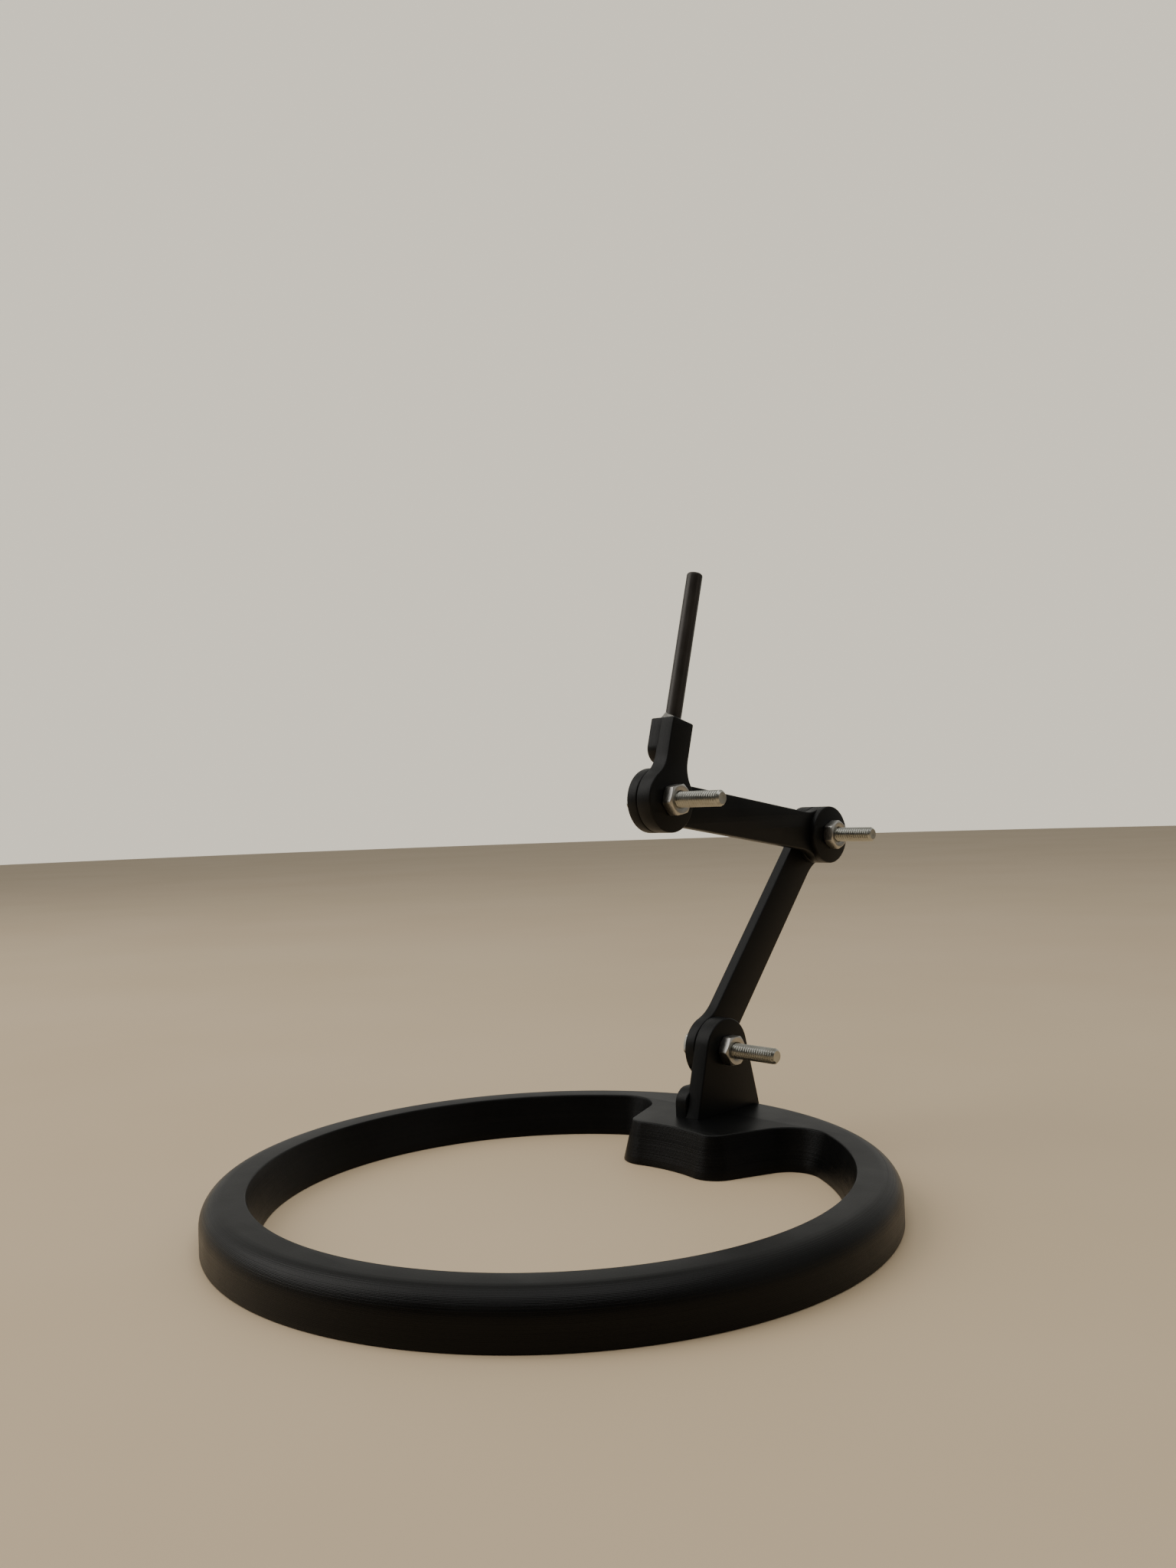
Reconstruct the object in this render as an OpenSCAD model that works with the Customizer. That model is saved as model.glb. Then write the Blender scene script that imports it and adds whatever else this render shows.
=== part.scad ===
// Hoop stand: a flat ring foot with an inward pad, a bracket standing on the
// pad, a two-link arm clamped by three bolts and nuts, and a head bracket that
// carries a slim rod.  Millimetres, +Z up.  The origin is the ring's centre on
// the table.  +Y runs from the ring's centre to the pad and +X is the side on
// which the nuts sit.  Every bolt lies along X, so the arm folds in a plane
// parallel to YZ.

/* [Ring foot] */
// Outer diameter of the ring
ring_d = 150; // [140:1:170]
// Inner diameter of the ring
ring_bore_d = 126; // [118:1:130]
// Height of the ring and its pad
ring_h = 10; // [9:0.5:14]
// Radius of the ring's rounded outer upper edge
edge_r = 4.6; // [3:0.1:5]
// Slope of the inner walls: how far they lean outward from bottom to top
draft = 2.6; // [0.5:0.1:3]
// Distance from the ring's centre to the pad's inner end
pad_in_r = 37.2; // [34:0.1:42]
// Half of the angle that the pad spans, in degrees
pad_half_ang = 22.7; // [20:0.1:27]
// Radius of the pad's vertical corners
pad_corner_r = 7; // [5.5:0.1:8]
// Radius of the fillets between the pad and the ring
pad_fillet_r = 7; // [5:0.1:9]

/* [Base bracket] */
// Distance from the ring's centre to the base pivot
pivot_y = 60.4; // [58:0.1:62]
// Height of the base pivot above the table
pivot_z = 25.5; // [25.2:0.1:30]
// Thickness of the ear
ear_t = 4.4; // [4:0.1:6]
// Half of the bracket's length where it meets the pad
foot_half = 12.2; // [11:0.1:13]
// Height of the foot block under the link
foot_t = 7; // [6:0.1:7.4]
// Radius of the foot block's upper edges
foot_r = 4; // [2:0.1:5]

/* [Arm links] */
// Distance between the two pivots of a link
link_len = 70; // [60:1:80]
// Width of a link's bar
bar_w = 10.4; // [9:0.1:12]
// Thickness of a link's bar and of its outer end
bar_t = 3.1; // [3:0.1:4.5]
// Thickness of a link at the elbow
elbow_t = 4.65; // [4.6:0.05:6]
// Radius of every round link end and ear
end_r = 7.9; // [7.5:0.1:8.4]
// Radius of the fillets between bar and round end
bar_fillet_r = 12; // [8:0.5:16]
// Slope of the lower link above the horizontal, in degrees
lower_ang = 48.9; // [40:0.1:60]
// Slope of the upper link above the horizontal, in degrees
upper_ang = 9; // [0:0.1:20]

/* [Head] */
// Lean of the head bracket away from the vertical, in degrees
head_lean = 15.6; // [8:0.1:20]
// Width of the head bracket's stem
stem_w = 7.4; // [6.8:0.1:9]
// Size of the head block across the stem, along the bolt
block_x = 7.5; // [6.8:0.1:8]
// Height of the head block's top above the head pivot
block_top = 20; // [18:0.1:24]
// Height of the head block's rounded underside above the head pivot
block_low = 9.3; // [9.2:0.1:11]
// Radius of the fillets between stem and round end
stem_fillet_r = 8; // [6:0.1:10]
// Rod diameter
rod_d = 4; // [3:0.1:4.4]
// Height of the rod's top above the head pivot
rod_top = 58.6; // [50:0.1:80]
// Depth of the rod's socket
socket_deep = 8; // [5:0.5:9]

/* [Fasteners] */
// Bolt thread diameter
bolt_d = 3.9; // [3.8:0.05:4]
// Bolt length under the head
bolt_len = 24.5; // [24:0.5:30]
// Hexagon size across flats of nuts and bolt heads
hex_af = 7; // [6.9:0.05:7.1]
// Nut thickness
nut_t = 3; // [2.9:0.1:3.2]
// Bolt head thickness
head_t = 2.8; // [2.6:0.1:3]
// Washer diameter
washer_d = 8; // [7.8:0.1:9]
// Washer thickness
washer_t = 0.5; // [0.4:0.1:1]
// Radial clearance of the bolts in their holes
fit_gap = 0.05; // [0.02:0.01:0.1]
// Split lock washer diameter
lock_d = 7.6; // [7:0.1:8]
// Split lock washer thickness
lock_t = 0.9; // [0.8:0.1:1.2]
// Gap between the clamped faces
lap = 0.05; // [0.02:0.01:0.1]
// Turn of the base, elbow and head nuts about their bolts, in degrees
nut_turn = [0, 25, 10];

/* [Hidden] */
$fn = 96;

plastic = [0.07, 0.07, 0.075];
zinc = [0.72, 0.73, 0.74];
rod_col = [0.22, 0.20, 0.19];

Ro = ring_d / 2;
Ri = ring_bore_d / 2;           // inner wall at the table
hole_r = bolt_d / 2 + fit_gap;
hex_r = hex_af / 2 / cos(30);

// Faces along X.  The ear's near face is the reference.
x_ear = 0.85;                   // near face of the base ear
x_ear_far = x_ear - ear_t;      // face of the ear that the lower link rests on
x_low_near = x_ear_far - lap;   // lower link, near face of its bar
x_low_far = x_low_near - bar_t; // lower link, far face
x_low_elbow = x_low_far + elbow_t;  // lower link, near face at the elbow
x_up_far = x_low_elbow + lap;   // upper link, far face
x_up_near = x_up_far + bar_t;   // upper link, near face of its bar
x_up_elbow = x_up_far + elbow_t;    // upper link, near face at the elbow
x_head_far = x_up_near + lap;   // head ear, face on the upper link
x_head = x_head_far + ear_t;    // head ear, near face
x_foot_far = x_low_far;         // far side of the base bracket's foot
x_rod = x_head - block_x / 2;   // rod axis
seat_z = ring_h + 0.03;         // underside of the bracket

// The whole stand is moved along Y so that the origin is the centre of its box
shift_y = -(pivot_y + link_len * cos(lower_ang) + end_r - Ro) / 2;

// Pivots as [y, z]
P1 = [pivot_y, pivot_z];
P2 = P1 + link_len * [cos(lower_ang), sin(lower_ang)];
P3 = P2 + link_len * [-cos(upper_ang), sin(upper_ang)];

screw_x = (x_ear + x_foot_far) / 2;
screw_dy = 7.4;
screw_len = 15;
screw_d = 3.9;
screw_head_d = 7.6;
screw_head_t = 2.2;

// Places a piece, drawn with the ring's centre at the origin, in the stand's frame
module stand() { translate([0, shift_y, 0]) children(); }

// Upright profile in the YZ plane, given thickness from x0 to x1
module slab(x0, x1) { translate([x0, 0, 0]) rotate([90, 0, 90]) linear_extrude(x1 - x0) children(); }

// Cylinder along X at pivot p = [y, z]
module xcyl(p, r, x0, x1, sides = 96) {
    translate([x0, p[0], p[1]]) rotate([90, 0, 90]) cylinder(r = r, h = x1 - x0, $fn = sides);
}

// Brings a link drawn along +Y from the origin to its pivot and slope
module at_pivot(p, ang) { translate([0, p[0], p[1]]) rotate([ang, 0, 0]) children(); }

// ---------------------------------------------------------------- ring foot
// Outline of the pad, drawn back by d from every side that faces the opening.
// b is measured from +Y; the fillets run 0.15 mm into the ring.
pad_c_r = pad_in_r + pad_corner_r;
pad_c_b = pad_half_ang - asin(pad_corner_r / pad_c_r);
pad_f_r = Ri - pad_fillet_r + 0.15;
pad_f_b = pad_half_ang + asin(pad_fillet_r / pad_f_r);
pad_out = (Ri + Ro) / 2;

function polar(r, b) = [r * sin(b), r * cos(b)];
function arc(c, r, a0, a1, n) = [for (i = [0:n]) let (a = a0 + (a1 - a0) * i / n) c + r * [cos(a), sin(a)]];
function flip(v) = [for (i = [len(v) - 1:-1:0]) [-v[i][0], v[i][1]]];
// Points from the pad's middle to its +X side: inner end, corner, fillet
function pad_end(d) = concat(
    [for (i = [1:3]) polar(pad_in_r + d, pad_c_b * i / 4)],
    arc(polar(pad_c_r, pad_c_b), pad_corner_r - d, 270 - pad_c_b, 360 - pad_half_ang, 6));
function pad_fillet(d) = arc(polar(pad_f_r, pad_f_b), pad_fillet_r + d, 180 - pad_half_ang, 90 - pad_f_b, 7);
function pad_side(d) = concat(pad_end(d), pad_fillet(d));
// The same number of points inside the ring, each outward of its partner
function pad_back(d) = concat(
    [for (p = pad_end(d)) polar(pad_out, 0.98 * atan2(p[0], p[1]))],
    [for (p = pad_fillet(d)) polar(pad_out, atan2(p[0], p[1]))]);
function pad_level(d) = concat(
    flip(pad_side(d)), [polar(pad_in_r + d, 0)], pad_side(d),
    flip(pad_back(d)), [polar(pad_out, 0)], pad_back(d));

// Pad with sloping walls, as one closed shell of two outlines
module pad() {
    levels = [[0, 0], [draft, ring_h]];
    n = len(pad_side(0));
    m = 2 * n + 1;
    loop = concat([for (i = [0:m - 1]) i], [for (i = [2 * m - 1:-1:m]) i]);
    top = (len(levels) - 1) * 2 * m;
    pts = [for (l = levels) for (p = pad_level(l[0])) [p[0], p[1], l[1]]];
    walls = [for (k = [0:len(levels) - 2]) for (i = [0:2 * m - 1])
        let (a = 2 * m * k + loop[i], b = 2 * m * k + loop[(i + 1) % (2 * m)])
        each [[a, b + 2 * m, b], [a, a + 2 * m, b + 2 * m]]];
    floors = [for (i = [0:m - 2]) i < n ? [i, i + 1, m + i + 1, m + i] : [i + 1, m + i + 1, m + i, i]];
    roofs = [for (i = [0:m - 2]) top * [1, 1, 1, 1] + (i < n ? [i, m + i, m + i + 1, i + 1] : [i + 1, i, m + i, m + i + 1])];
    polyhedron(points = pts, faces = concat(floors, walls, roofs), convexity = 6);
}

module base_ring() {
    color(plastic) stand() difference() {
        union() {
            rotate_extrude($fn = 144) union() {
                polygon([[Ri, 0], [Ro, 0], [Ro, ring_h - edge_r], [Ro - edge_r, ring_h], [Ri + draft, ring_h]]);
                translate([Ro - edge_r, ring_h - edge_r]) circle(edge_r, $fn = 48);
            }
            pad();
        }
        for (s = [-1, 1]) translate([screw_x, pivot_y + s * screw_dy, 0]) {
            translate([0, 0, -1]) cylinder(d = screw_d + 0.2, h = ring_h + 2, $fn = 48);
            translate([0, 0, -1]) cylinder(d = screw_head_d + 0.3, h = 1.4, $fn = 48);
            translate([0, 0, 0.4]) cylinder(d1 = screw_head_d + 0.3, d2 = screw_d + 0.2, h = screw_head_t, $fn = 48);
        }
    }
}

// ---------------------------------------------------------------- base bracket
// Tangent point on a circle of radius r at c from the point e, right-hand side
function tangent(c, r, e) = let (v = e - c, d = norm(v), a = acos(r / d), b = atan2(v[1], v[0])) c + r * [cos(b + a), sin(b + a)];

module base_bracket() {
    foot_z = seat_z + foot_t;
    t_r = tangent(P1, end_r, [pivot_y + foot_half, seat_z]);
    color(plastic) stand() difference() {
        union() {
            slab(x_ear_far, x_ear) polygon([
                [pivot_y - foot_half, seat_z], [Ro - edge_r, seat_z], [Ro - edge_r + 1.4, seat_z - 0.09],
                [pivot_y + foot_half + 0.15, seat_z - 0.55],
                t_r, P1, [2 * pivot_y - t_r[0], t_r[1]]]);
            xcyl(P1, end_r, x_ear_far, x_ear);
            slab(x_foot_far, x_ear_far) difference() {
                union() {
                    translate([pivot_y - foot_half, seat_z]) square([2 * foot_half, foot_t - foot_r]);
                    translate([pivot_y - foot_half + foot_r, seat_z]) square([2 * (foot_half - foot_r), foot_t]);
                    for (s = [-1, 1]) translate([pivot_y + s * (foot_half - foot_r), foot_z - foot_r]) circle(foot_r, $fn = 48);
                }
                translate([pivot_y - 30, seat_z - 20]) square([60, 20]);
            }
        }
        xcyl(P1, hole_r, x_foot_far - 1, x_ear + 1);
        for (s = [-1, 1]) translate([screw_x, pivot_y + s * screw_dy, ring_h - 1])
            cylinder(d = screw_d + 0.1, h = screw_len - ring_h + 1.6, $fn = 48);
    }
}

// Two countersunk screws that hold the bracket down from under the ring
module bracket_screws() {
    color(zinc) stand() for (s = [-1, 1]) translate([screw_x, pivot_y + s * screw_dy, 0]) difference() {
        union() {
            translate([0, 0, 0.4]) cylinder(d1 = screw_head_d, d2 = screw_d, h = screw_head_t, $fn = 48);
            translate([0, 0, 1]) cylinder(d = screw_d, h = screw_len - 1, $fn = 48);
        }
        translate([0, 0, -0.6]) cylinder(d = 2.9, h = 2.2, $fn = 6);
    }
}

// ---------------------------------------------------------------- arm links
// Web that fills the corner between a round end and a bar of half-width w,
// with its concave side cut by a cylinder of radius f
module webs(w, f, x0, x1) {
    u = sqrt(pow(end_r + f, 2) - pow(w + f, 2));
    t = 1.08 * end_r / (end_r + f) * [u, w + f];
    difference() {
        slab(x0, x1) polygon([[0, 0], [t[0], -t[1]], [u, -w - 1], [u, w + 1], t]);
        for (s = [-1, 1]) xcyl([u, s * (w + f)], f + 0.04, x0 - 1, x1 + 1, 128);
    }
}

// One link, drawn along +Y: flat far side, raised boss on the near side at the
// elbow end.  elbow_first puts that boss at the origin.
module link(x_far, elbow_first) {
    y_elbow = elbow_first ? 0 : link_len;
    difference() {
        union() {
            slab(x_far, x_far + bar_t) translate([0, -bar_w / 2]) square([link_len, bar_w]);
            for (y = [0, link_len]) xcyl([y, 0], end_r, x_far, x_far + (y == y_elbow ? elbow_t : bar_t));
            webs(bar_w / 2, bar_fillet_r, x_far, x_far + bar_t);
            translate([0, link_len, 0]) rotate([180, 0, 0]) webs(bar_w / 2, bar_fillet_r, x_far, x_far + bar_t);
        }
        for (y = [0, link_len]) xcyl([y, 0], hole_r, x_far - 1, x_far + elbow_t + 1);
    }
}

module lower_arm() { color(plastic) stand() at_pivot(P1, lower_ang) link(x_low_far, false); }
module upper_arm() { color(plastic) stand() at_pivot(P2, 180 - upper_ang) link(x_up_far, true); }

// ---------------------------------------------------------------- head
// Drawn with its stem along +Y, then stood up and leaned
module at_head() { at_pivot(P3, 90 - head_lean) children(); }

module head_bracket() {
    color(plastic) stand() at_head() difference() {
        union() {
            xcyl([0, 0], end_r, x_head_far, x_head);
            webs(stem_w / 2, stem_fillet_r, x_head_far, x_head);
            slab(x_head_far, x_head) translate([0, -stem_w / 2]) square([block_top, stem_w]);
            slab(x_head - block_x, x_head) translate([block_low + stem_w / 2, -stem_w / 2]) square([block_top - block_low - stem_w / 2, stem_w]);
            xcyl([block_low + stem_w / 2, 0], stem_w / 2, x_head - block_x, x_head);
        }
        xcyl([0, 0], hole_r, x_head_far - 1, x_head + 1);
        translate([x_rod, block_top - socket_deep, 0]) rotate([-90, 0, 0]) cylinder(d = rod_d - 0.9, h = socket_deep + 1, $fn = 64);
    }
}

// Plain rod with a slimmer spigot that sits in the socket and the bead
module rod() {
    rod_free = block_top + 2.4;
    lo = block_top - socket_deep + 0.2;
    color(rod_col) stand() at_head() translate([x_rod, lo, 0]) rotate([-90, 0, 0]) union() {
        cylinder(d = rod_d - 1, h = rod_free - lo, $fn = 64);
        translate([0, 0, rod_free - lo]) cylinder(d = rod_d, h = rod_top - rod_free - 0.3, $fn = 64);
        translate([0, 0, rod_top - lo - 0.3]) cylinder(d1 = rod_d, d2 = rod_d - 0.6, h = 0.3, $fn = 64);
    }
}

// Bead of clear adhesive where the rod enters its socket
module rod_glue_bead() {
    color([0.8, 0.8, 0.76]) stand() at_head() translate([x_rod, block_top + 0.01, 0]) rotate([-90, 0, 0]) difference() {
        translate([0, 0.35, 0]) cylinder(r1 = 3.1, r2 = 2.1, h = 2.3, $fn = 48);
        translate([0, 0, -1]) cylinder(d = rod_d - 0.9, h = 5, $fn = 64);
    }
}

// ---------------------------------------------------------------- fasteners
module bolt(p, x_seat) {
    x0 = x_seat - washer_t - lock_t;
    color(zinc) stand() union() {
        xcyl(p, bolt_d / 2, x0 - 0.1, x0 + bolt_len - 0.6, 64);
        translate([x0 + bolt_len - 0.6, p[0], p[1]]) rotate([90, 0, 90]) cylinder(r1 = bolt_d / 2, r2 = bolt_d / 2 - 0.6, h = 0.6, $fn = 64);
        xcyl(p, hex_r, x0 - head_t, x0, 6);
    }
}

module washer(p, x_seat) {
    color(zinc) stand() difference() {
        xcyl(p, washer_d / 2, x_seat - washer_t, x_seat - 0.02);
        xcyl(p, 2.15, x_seat - washer_t - 1, x_seat + 1, 64);
    }
}

// Split ring with one slanting gap, between the flat washer and the bolt head
module lock_washer(p, x_seat) {
    x0 = x_seat - washer_t - lock_t;
    color(zinc) stand() difference() {
        xcyl(p, lock_d / 2, x0 + 0.02, x0 + lock_t - 0.02);
        xcyl(p, 2.1, x0 - 1, x0 + 2, 64);
        translate([x0 + lock_t / 2, p[0], p[1] + lock_d / 2]) rotate([0, 0, 35]) cube([4, 0.5, lock_d / 2 + 1], center = true);
    }
}

module nut(p, x_seat, turn) {
    color(zinc) stand() difference() {
        translate([x_seat + 0.02, p[0], p[1]]) rotate([90, 0, 90]) rotate([0, 0, turn]) intersection() {
            cylinder(r = hex_r, h = nut_t, $fn = 6);
            cylinder(r1 = hex_af / 2 + 0.1, r2 = hex_af / 2 + 0.1 + nut_t * 2, h = nut_t, $fn = 96);
            cylinder(r2 = hex_af / 2 + 0.1, r1 = hex_af / 2 + 0.1 + nut_t * 2, h = nut_t, $fn = 96);
        }
        xcyl(p, hole_r, x_seat - 1, x_seat + nut_t + 1, 64);
    }
}

module base_bolt() { bolt(P1, x_low_far - 0.02); }
module base_lock_washer() { lock_washer(P1, x_low_far - 0.02); }
module base_washer() { washer(P1, x_low_far - 0.02); }
module base_nut() { nut(P1, x_ear, nut_turn[0]); }
module elbow_bolt() { bolt(P2, x_low_far - 0.02); }
module elbow_lock_washer() { lock_washer(P2, x_low_far - 0.02); }
module elbow_washer() { washer(P2, x_low_far - 0.02); }
module elbow_nut() { nut(P2, x_up_elbow, nut_turn[1]); }
module head_bolt() { bolt(P3, x_up_far - 0.02); }
module head_lock_washer() { lock_washer(P3, x_up_far - 0.02); }
module head_washer() { washer(P3, x_up_far - 0.02); }
module head_nut() { nut(P3, x_head, nut_turn[2]); }

base_ring();
base_bracket();
bracket_screws();
base_bolt();
base_lock_washer();
base_washer();
base_nut();
lower_arm();
elbow_bolt();
elbow_lock_washer();
elbow_washer();
elbow_nut();
upper_arm();
head_bolt();
head_lock_washer();
head_washer();
head_nut();
head_bracket();
rod();
rod_glue_bead();
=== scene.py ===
import math
import bpy
import bmesh
from mathutils import Matrix, Vector
from mathutils.geometry import tessellate_polygon


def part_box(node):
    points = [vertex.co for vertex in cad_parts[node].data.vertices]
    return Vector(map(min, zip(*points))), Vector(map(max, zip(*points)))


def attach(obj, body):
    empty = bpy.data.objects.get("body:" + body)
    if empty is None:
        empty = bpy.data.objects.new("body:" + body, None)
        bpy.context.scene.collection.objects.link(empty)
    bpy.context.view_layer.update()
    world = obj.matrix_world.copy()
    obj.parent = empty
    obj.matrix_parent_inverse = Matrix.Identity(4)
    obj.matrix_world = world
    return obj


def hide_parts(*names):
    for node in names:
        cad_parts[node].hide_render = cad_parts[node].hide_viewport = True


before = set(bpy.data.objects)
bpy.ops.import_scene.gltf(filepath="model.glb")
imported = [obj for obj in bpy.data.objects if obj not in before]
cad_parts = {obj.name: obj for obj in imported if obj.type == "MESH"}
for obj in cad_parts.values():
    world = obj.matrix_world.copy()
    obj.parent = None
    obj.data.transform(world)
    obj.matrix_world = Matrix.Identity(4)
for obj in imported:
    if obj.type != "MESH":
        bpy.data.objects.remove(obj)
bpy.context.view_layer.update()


MM = 0.001

# ------------------------------------------------------------------ positions
# Every position comes from the CAD nodes' boxes.
def lo(n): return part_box(n)[0]
def hi(n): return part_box(n)[1]
def mid(n): return (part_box(n)[0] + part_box(n)[1]) / 2


RING_O = (hi("base_ring").x - lo("base_ring").x) / 2          # outer radius
CY = lo("base_ring").y + RING_O                               # ring's centre along Y
H = hi("base_ring").z
P1 = mid("base_bolt")
P2 = mid("elbow_bolt")
P3 = mid("head_bolt")
LEAN = math.radians(15.6)
LOWER = math.atan2(P2.z - P1.z, P2.y - P1.y)
UPPER = math.atan2(P3.z - P2.z, P3.y - P2.y)

# ------------------------------------------------------------------ materials
def new_mat(name):
    m = bpy.data.materials.new(name)
    m.use_nodes = True
    nt = m.node_tree
    for n in list(nt.nodes):
        nt.nodes.remove(n)
    out = nt.nodes.new("ShaderNodeOutputMaterial")
    bs = nt.nodes.new("ShaderNodeBsdfPrincipled")
    nt.links.new(bs.outputs[0], out.inputs[0])
    return m, nt, bs


def node(nt, kind, **kw):
    n = nt.nodes.new(kind)
    for k, v in kw.items():
        if k.startswith("i_"):
            n.inputs[k[2:].replace("_", " ")].default_value = v
        else:
            setattr(n, k, v)
    return n


def ramp(nt, fac, stops):
    r = nt.nodes.new("ShaderNodeValToRGB")
    els = r.color_ramp.elements
    els[0].position, els[0].color = stops[0][0], stops[0][1]
    els[1].position, els[1].color = stops[-1][0], stops[-1][1]
    for p, c in stops[1:-1]:
        e = els.new(p)
        e.color = c
    nt.links.new(fac, r.inputs[0])
    return r.outputs[0]


def grey(v): return (v, v, v, 1)


def maths(nt, op, a, b=None, c=None):
    n = node(nt, "ShaderNodeMath", operation=op)
    for i, v in enumerate((a, b, c)):
        if v is None:
            continue
        if isinstance(v, (int, float)):
            n.inputs[i].default_value = v
        else:
            nt.links.new(v, n.inputs[i])
    return n.outputs[0]


def printed_plastic(name, axis, turn=0.0, origin=(0, 0, 0), lines=1.0, base=0.0024, rough=0.37):
    """Black printed plastic: fine layer ridges along axis, slightly uneven gloss, painted highlight on convex edges."""
    m, nt, bs = new_mat(name)
    tc = node(nt, "ShaderNodeTexCoord")
    mp = node(nt, "ShaderNodeMapping", vector_type="TEXTURE")
    mp.inputs["Location"].default_value = origin
    mp.inputs["Rotation"].default_value = (turn, 0, 0)
    nt.links.new(tc.outputs["Object"], mp.inputs[0])
    co = mp.outputs[0]
    # uneven gloss, clouds of about 12 mm and a fine mottling
    big = node(nt, "ShaderNodeTexNoise", i_Scale=85.0, i_Detail=3.0, i_Roughness=0.55)
    nt.links.new(co, big.inputs["Vector"])
    fine = node(nt, "ShaderNodeTexNoise", i_Scale=2600.0, i_Detail=2.0, i_Roughness=0.6)
    nt.links.new(co, fine.inputs["Vector"])
    # layer ridges 0.2 mm apart; a slow wobble keeps them from being perfect
    sep = node(nt, "ShaderNodeSeparateXYZ")
    nt.links.new(co, sep.inputs[0])
    along = sep.outputs[axis]
    stretch = node(nt, "ShaderNodeMapping")
    sc = [9.0, 9.0, 9.0]
    sc[axis] = 5200.0
    stretch.inputs["Scale"].default_value = sc
    nt.links.new(co, stretch.inputs[0])
    band = node(nt, "ShaderNodeTexNoise", i_Scale=1.0, i_Detail=1.0, i_Roughness=0.5)
    nt.links.new(stretch.outputs[0], band.inputs["Vector"])
    wob = maths(nt, "MULTIPLY_ADD", big.outputs[0], 0.00006, along)
    ridge = maths(nt, "ABSOLUTE", maths(nt, "SINE", maths(nt, "MULTIPLY", wob, math.pi / (0.2 * MM))))
    # colour
    geo = node(nt, "ShaderNodeNewGeometry")
    col = ramp(nt, big.outputs[0], [(0.3, (base * 0.76, base * 0.84, base * 0.90, 1)), (0.7, (base * 1.14, base * 1.22, base * 1.28, 1))])
    # painted highlight: convex edges (high pointiness) are mixed, broken up by fine noise, towards a paler grey
    edge = ramp(nt, geo.outputs["Pointiness"], [(0.515, grey(0)), (0.62, grey(1))])
    edge_highlight_mix = node(nt, "ShaderNodeMix", data_type="RGBA", blend_type="MIX")
    edge_highlight_amount = maths(nt, "MULTIPLY", maths(nt, "MULTIPLY", edge, fine.outputs[0]), 0.6)
    nt.links.new(edge_highlight_amount, edge_highlight_mix.inputs[0])
    nt.links.new(col, edge_highlight_mix.inputs[6])
    edge_highlight_mix.inputs[7].default_value = (0.02, 0.0205, 0.02, 1)
    nt.links.new(edge_highlight_mix.outputs[2], bs.inputs["Base Color"])
    # roughness
    r = maths(nt, "MULTIPLY_ADD", big.outputs[0], 0.16, rough - 0.08)
    r = maths(nt, "MULTIPLY_ADD", band.outputs[0], 0.14, maths(nt, "SUBTRACT", r, 0.07))
    r = maths(nt, "MULTIPLY_ADD", fine.outputs[0], 0.06, maths(nt, "SUBTRACT", r, 0.03))
    nt.links.new(r, bs.inputs["Roughness"])
    # relief
    h = maths(nt, "MULTIPLY", ridge, 0.55 * lines)
    h = maths(nt, "MULTIPLY_ADD", band.outputs[0], 0.9 * lines, h)
    h = maths(nt, "MULTIPLY_ADD", fine.outputs[0], 0.5, h)
    bump = node(nt, "ShaderNodeBump", i_Strength=0.55, i_Distance=0.00005)
    nt.links.new(h, bump.inputs["Height"])
    nt.links.new(bump.outputs[0], bs.inputs["Normal"])
    bs.inputs["Specular IOR Level"].default_value = 0.19
    bs.inputs["IOR"].default_value = 1.5
    return m


def zinc(name, axis=0, base=(0.50, 0.50, 0.455), rough=0.3):
    """Zinc-plated steel: soft clouded sheen, fine drawn scratches, duller in patches."""
    m, nt, bs = new_mat(name)
    tc = node(nt, "ShaderNodeTexCoord")
    co = tc.outputs["Object"]
    big = node(nt, "ShaderNodeTexNoise", i_Scale=420.0, i_Detail=4.0, i_Roughness=0.6)
    nt.links.new(co, big.inputs["Vector"])
    st = node(nt, "ShaderNodeMapping")
    sc = [6000.0, 6000.0, 6000.0]
    sc[(axis + 1) % 3] = 700.0
    st.inputs["Scale"].default_value = sc
    nt.links.new(co, st.inputs[0])
    scratch = node(nt, "ShaderNodeTexNoise", i_Scale=1.0, i_Detail=2.0, i_Roughness=0.5)
    nt.links.new(st.outputs[0], scratch.inputs["Vector"])
    geo = node(nt, "ShaderNodeNewGeometry")
    a, b, c = base
    col = ramp(nt, big.outputs[0], [(0.3, (a * 0.88, b * 0.87, c * 0.85, 1)), (0.5, (a, b, c, 1)), (0.7, (min(1, a * 1.07), min(1, b * 1.08), min(1, c * 1.10), 1))])
    # painted shade: hollows (low pointiness), such as thread roots, are mixed towards a dark brown
    hollow_shade_mask = ramp(nt, geo.outputs["Pointiness"], [(0.42, grey(1)), (0.5, grey(0))])
    hollow_shade_mix = node(nt, "ShaderNodeMix", data_type="RGBA", blend_type="MIX")
    nt.links.new(maths(nt, "MULTIPLY", hollow_shade_mask, 0.35), hollow_shade_mix.inputs[0])
    nt.links.new(col, hollow_shade_mix.inputs[6])
    hollow_shade_mix.inputs[7].default_value = (0.12, 0.11, 0.095, 1)
    nt.links.new(hollow_shade_mix.outputs[2], bs.inputs["Base Color"])
    bs.inputs["Metallic"].default_value = 1.0
    r = maths(nt, "MULTIPLY_ADD", big.outputs[0], 0.22, rough - 0.1)
    r = maths(nt, "MULTIPLY_ADD", scratch.outputs[0], 0.12, maths(nt, "SUBTRACT", r, 0.05))
    nt.links.new(r, bs.inputs["Roughness"])
    h = maths(nt, "MULTIPLY_ADD", scratch.outputs[0], 0.5, maths(nt, "MULTIPLY", big.outputs[0], 0.5))
    bump = node(nt, "ShaderNodeBump", i_Strength=0.35, i_Distance=0.00002)
    nt.links.new(h, bump.inputs["Height"])
    nt.links.new(bump.outputs[0], bs.inputs["Normal"])
    return m


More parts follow.
